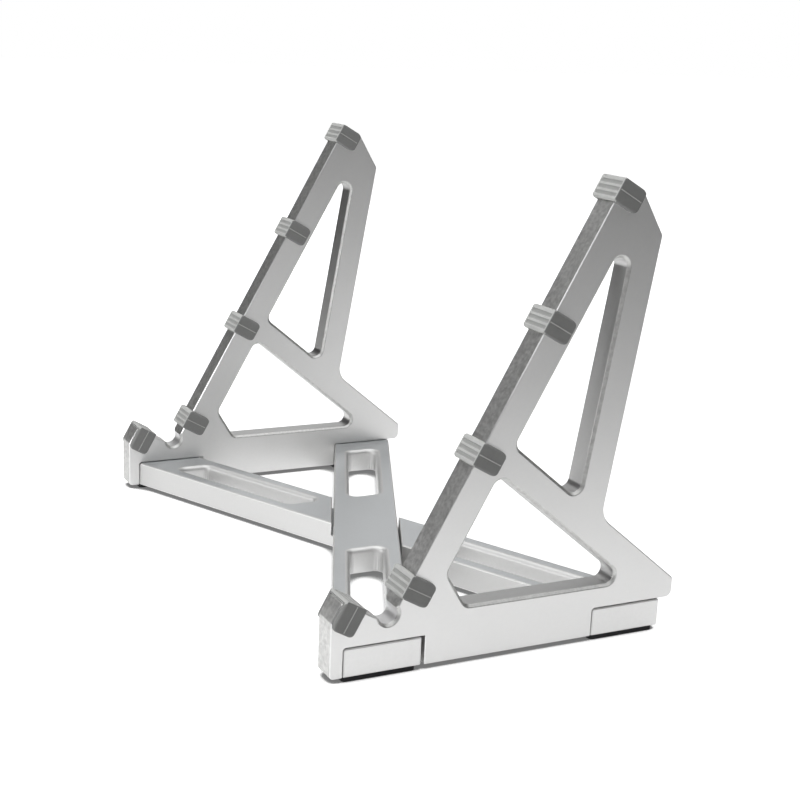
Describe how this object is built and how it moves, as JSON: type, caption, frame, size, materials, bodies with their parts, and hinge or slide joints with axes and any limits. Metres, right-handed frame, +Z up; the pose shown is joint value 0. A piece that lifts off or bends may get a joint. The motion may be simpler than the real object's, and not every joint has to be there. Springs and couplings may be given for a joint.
{
  "type": "keyboard stand",
  "caption": "Desktop keyboard stand: two slanted metal uprights with cut-out windows on an X of half-lapped bars, with rubber clips and feet.",
  "frame": {"origin": "middle of the footprint, on the surface that the stand rests on", "axes": "+Z up, -Y to the front, where the keyboard is played from, +X to the player's right"},
  "size_m": [0.2416, 0.139, 0.1682],
  "materials": {
    "aluminium": "satin",
    "grey_rubber": "matte",
    "black_rubber": "matte"
  },
  "bodies": {
    "base": {"lower_bar": "aluminium", "front_left_foot": "black_rubber", "rear_right_foot": "black_rubber"},
    "cross_bar": {"upper_bar": "aluminium", "front_right_foot": "black_rubber", "rear_left_foot": "black_rubber"},
    "right_upright": {"right_upright": "aluminium"},
    "left_upright": {"left_upright": "aluminium"},
    "right_clip_1": {"right_clip_1": "grey_rubber"},
    "right_clip_2": {"right_clip_2": "grey_rubber"},
    "right_clip_3": {"right_clip_3": "grey_rubber"},
    "right_clip_4": {"right_clip_4": "grey_rubber"},
    "right_lip_clip": {"right_lip_clip": "grey_rubber"},
    "left_clip_1": {"left_clip_1": "grey_rubber"},
    "left_clip_2": {"left_clip_2": "grey_rubber"},
    "left_clip_3": {"left_clip_3": "grey_rubber"},
    "left_clip_4": {"left_clip_4": "grey_rubber"},
    "left_lip_clip": {"left_lip_clip": "grey_rubber"}
  },
  "joints": [
    {"name": "upper_bar_lift", "type": "slide", "parent": "base", "child": "cross_bar", "axis": [0, 0, 1], "range_m": [0, 0.03]},
    {"name": "right_upright_lift", "type": "slide", "parent": "cross_bar", "child": "right_upright", "axis": [0, 0, 1], "range_m": [0, 0.03]},
    {"name": "left_upright_lift", "type": "slide", "parent": "cross_bar", "child": "left_upright", "axis": [0, 0, 1], "range_m": [0, 0.03]},
    {"name": "right_clip_1_slide", "type": "slide", "parent": "right_upright", "child": "right_clip_1", "axis": [0, 0.4863, 0.8738], "range_m": [-0.02, 0]},
    {"name": "right_clip_2_slide", "type": "slide", "parent": "right_upright", "child": "right_clip_2", "axis": [0, 0.4863, 0.8738], "range_m": [-0.02, 0.02]},
    {"name": "right_clip_3_slide", "type": "slide", "parent": "right_upright", "child": "right_clip_3", "axis": [0, 0.4863, 0.8738], "range_m": [-0.02, 0.02]},
    {"name": "right_clip_4_slide", "type": "slide", "parent": "right_upright", "child": "right_clip_4", "axis": [0, 0.4863, 0.8738], "range_m": [-0.002, 0.02]},
    {"name": "right_lip_clip_slide", "type": "slide", "parent": "right_upright", "child": "right_lip_clip", "axis": [0, 0.8738, -0.4863], "range_m": [0, 0.004]},
    {"name": "left_clip_1_slide", "type": "slide", "parent": "left_upright", "child": "left_clip_1", "axis": [0, 0.4863, 0.8738], "range_m": [-0.02, 0]},
    {"name": "left_clip_2_slide", "type": "slide", "parent": "left_upright", "child": "left_clip_2", "axis": [0, 0.4863, 0.8738], "range_m": [-0.02, 0.02]},
    {"name": "left_clip_3_slide", "type": "slide", "parent": "left_upright", "child": "left_clip_3", "axis": [0, 0.4863, 0.8738], "range_m": [-0.02, 0.02]},
    {"name": "left_clip_4_slide", "type": "slide", "parent": "left_upright", "child": "left_clip_4", "axis": [0, 0.4863, 0.8738], "range_m": [-0.002, 0.02]},
    {"name": "left_lip_clip_slide", "type": "slide", "parent": "left_upright", "child": "left_lip_clip", "axis": [0, 0.8738, -0.4863], "range_m": [0, 0.004]}
  ]
}
